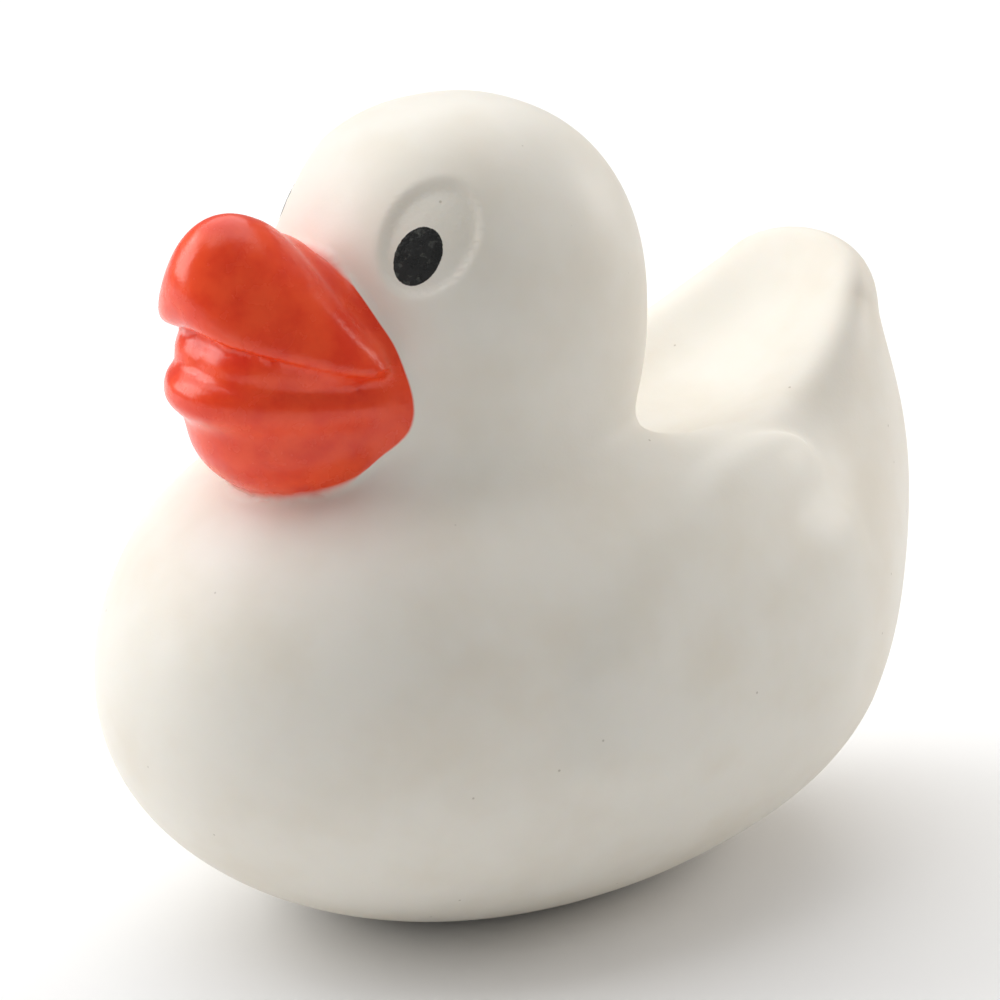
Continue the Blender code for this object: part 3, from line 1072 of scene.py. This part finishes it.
@dataclass
class Squeaker:
    """The plug in the duck's base, with the anvil and the reed inside it.

    Attributes:
        ribs: How many ribs stiffen the plug's outer disc.
        rib_width: How wide each rib is, in metres.
        rib_depth: How far the disc's face lies behind the ribs.
        rim: How wide the disc's raised rim is.
        round_over: The radius of its worn edges.
        barrel_step: How much smaller the barrel's radius is than the disc's.
        snap_step: The same for the rim that snaps in.
        barrel_wall: How thick the barrel's wall is.
        vent: The radius of the hole in the disc.
        disc_depth: How thick the disc is.
        web: The height of the gap between disc and snap rim, where the duck's base lies.
        floor_depth: How thick the floor inside the barrel is.
        sides: Flats round it.
        plastic: The finish of the plug and the anvil.
        film: The finish of the reed.
    """

    ribs: int = 12
    rib_width: float = 0.45 * MM
    rib_depth: float = 0.3 * MM
    rim: float = 0.8 * MM
    round_over: float = 0.3 * MM
    barrel_step: float = 2.4 * MM
    snap_step: float = 1.3 * MM
    barrel_wall: float = 1.6 * MM
    vent: float = 1.4 * MM
    disc_depth: float = 0.9 * MM
    web: float = 2.4 * MM
    floor_depth: float = 1.1 * MM
    sides: int = 72
    plastic: PlasticFinish = PlasticFinish(
        "natural_polyethylene", colour(234, 234, 228), colour(222, 222, 212), 0.4)
    film: PlasticFinish = PlasticFinish(
        "polyester_film", colour(214, 222, 226), colour(200, 210, 216), 0.16, clear=0.6)

    def build(self) -> bpy.types.Object:
        """Make the plug, and give the pieces inside it their finishes.

        Returns:
            The plug, in the frame's metres.
        """
        low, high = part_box(PLUG)
        disc, base, top = (high.x - low.x) / 2, low.z, high.z
        barrel, snap, vent = disc - self.barrel_step, disc - self.snap_step, self.vent
        bore, inside = barrel - self.barrel_wall, base + self.floor_depth
        edge, face = self.round_over, base + self.rib_depth
        shelf = base + self.disc_depth
        clip = shelf + self.web
        profile = [
            (bore, top), (barrel - edge, top), (barrel, top - edge),
            (barrel, clip + 2.4 * MM), (snap, clip + 1.0 * MM), (snap, clip),
            (barrel, clip), (barrel, shelf), (disc, shelf), (disc, base + edge),
            (disc - edge / 3, base + edge / 3), (disc - edge, base), (disc - self.rim, base),
            (disc - self.rim, face), (vent, face), (vent, inside), (bore, inside),
        ]
        body = scene_object("plug_body", lathe("plug_body", profile, self.sides))
        inner, outer = vent + 0.5 * MM, disc - self.rim + 0.1 * MM
        tree = RibTree("ring_of_ribs")
        size = (outer - inner, self.rib_width, self.rib_depth + 0.2 * MM)
        mesh = tree.run(body, {
            RibTree.COUNT: self.ribs,
            RibTree.RADIUS: (outer + inner) / 2,
            RibTree.SIZE: size,
            RibTree.LIFT: (0.0, 0.0, base + size[2] / 2),
            RibTree.FINISH: self.plastic.material(),
        })
        mesh.transform(Matrix.Translation((0.0, (low.y + high.y) / 2, 0.0)))
        mesh.set_sharp_from_angle(angle=math.radians(35.0))
        mesh.name = "ribbed_plug"
        piece = scene_object("ribbed_plug", mesh)
        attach(piece, BODY)
        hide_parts(PLUG)
        self.dress(ANVIL, self.plastic)
        self.dress(REED, self.film)
        return piece

    def dress(self, node: str, finish: PlasticFinish) -> None:
        """Give a CAD node that stays as it is a better finish."""
        material = finish.material()
        for slot in bpy.data.objects[node].material_slots:
            slot.material = material


# ---------------------------------------------------------------- the studio


@dataclass(frozen=True)
class SoftBox:
    """A square area light.

    Attributes:
        name: Its name.
        azimuth: Where it stands round the duck, in degrees from the front towards its left.
        elevation: How high it stands, in degrees.
        distance: How far off, in metres.
        size: Its side, in metres.
        power: Its power, in watts.
        tint: Its colour.
    """

    name: str
    azimuth: float
    elevation: float
    distance: float
    size: float
    power: float
    tint: Triple


def bearing(azimuth: float, elevation: float) -> Vector:
    """The unit vector towards a place round the duck, with azimuth 0 in front of it (-Y)."""
    turn, lift = math.radians(azimuth), math.radians(elevation)
    return Vector((math.sin(turn) * math.cos(lift), -math.cos(turn) * math.cos(lift), math.sin(lift)))


@dataclass
class Studio:
    """A pale floor, soft boxes and the camera.

    Attributes:
        azimuth: The camera's place round the duck, in degrees.
        elevation: The camera's height, in degrees.
        distance: The camera's distance from its aim, in metres.
        lens: Its focal length for a 36 mm sensor.
        aim: The point that the camera and the lights face, in metres.
        boxes: The lights.
        air: How bright the surroundings are.
        floor_radius: How far the floor reaches, in metres.
    """

    azimuth: float = 51.6
    elevation: float = 19.0
    distance: float = 0.4129
    lens: float = 148.6
    aim: Triple = (-0.0015, -0.0023, 0.0385)
    boxes: tuple[SoftBox, ...] = (
        SoftBox("top", -100.0, 66.0, 0.9, 1.3, 8.6, (1.0, 1.0, 1.0)),
        SoftBox("key", -48.0, 26.0, 0.6, 0.4, 1.9, (1.0, 1.0, 1.0)),
        SoftBox("fill", 165.0, 22.0, 0.6, 0.3, 1.1, (1.0, 0.95, 0.89)),
    )
    air: float = 0.3
    floor_radius: float = 3.0

    def build(self) -> None:
        """Make the floor, the lights and the camera."""
        bpy.context.scene.view_settings.view_transform = "Standard"
        aim = Vector(self.aim)
        self.floor()
        for box in self.boxes:
            self.light(box, aim)
        self.surroundings()
        self.camera(aim)

    def floor(self) -> None:
        """A pale round floor."""
        form = bmesh.new()
        bmesh.ops.create_circle(form, cap_ends=True, radius=self.floor_radius, segments=96)
        mesh = bpy.data.meshes.new("floor")
        form.to_mesh(mesh)
        form.free()
        shader = Shader("pale_floor")
        shader.set(Base_Color=colour(246, 246, 246), Roughness=0.9)
        mesh.materials.append(shader.material)
        scene_object("floor", mesh)

    def light(self, box: SoftBox, aim: Vector) -> None:
        """Put up one soft box, facing the duck."""
        data = bpy.data.lights.new(box.name, "AREA")
        data.energy = box.power
        data.size = box.size
        data.color = box.tint
        item = bpy.data.objects.new(box.name, data)
        away = bearing(box.azimuth, box.elevation)
        item.location = aim + away * box.distance
        item.rotation_euler = away.to_track_quat("Z", "Y").to_euler()
        bpy.context.scene.collection.objects.link(item)

    def surroundings(self) -> None:
        """Even white light from all round."""
        world = bpy.data.worlds.new("studio_air")
        world.use_nodes = True
        node = world.node_tree.nodes["Background"]
        node.inputs["Color"].default_value = (1.0, 1.0, 1.0, 1.0)
        node.inputs["Strength"].default_value = self.air
        bpy.context.scene.world = world

    def camera(self, aim: Vector) -> None:
        """Put the camera in its place."""
        data = bpy.data.cameras.new("camera")
        data.lens = self.lens
        data.sensor_width = 36.0
        item = bpy.data.objects.new("camera", data)
        away = bearing(self.azimuth, self.elevation)
        item.location = aim + away * self.distance
        item.rotation_euler = away.to_track_quat("Z", "Y").to_euler()
        bpy.context.scene.collection.objects.link(item)
        bpy.context.scene.camera = item


def main() -> None:
    """Build the duck and its studio on the frame."""
    logging.basicConfig(level=logging.INFO, format="%(name)s: %(message)s")
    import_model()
    for part in (Skin(), Squeaker()):
        piece = part.build()
        LOG.info("%s: %d faces", piece.name, len(piece.data.polygons))
    Studio().build()


if __name__ == "__main__":
    main()
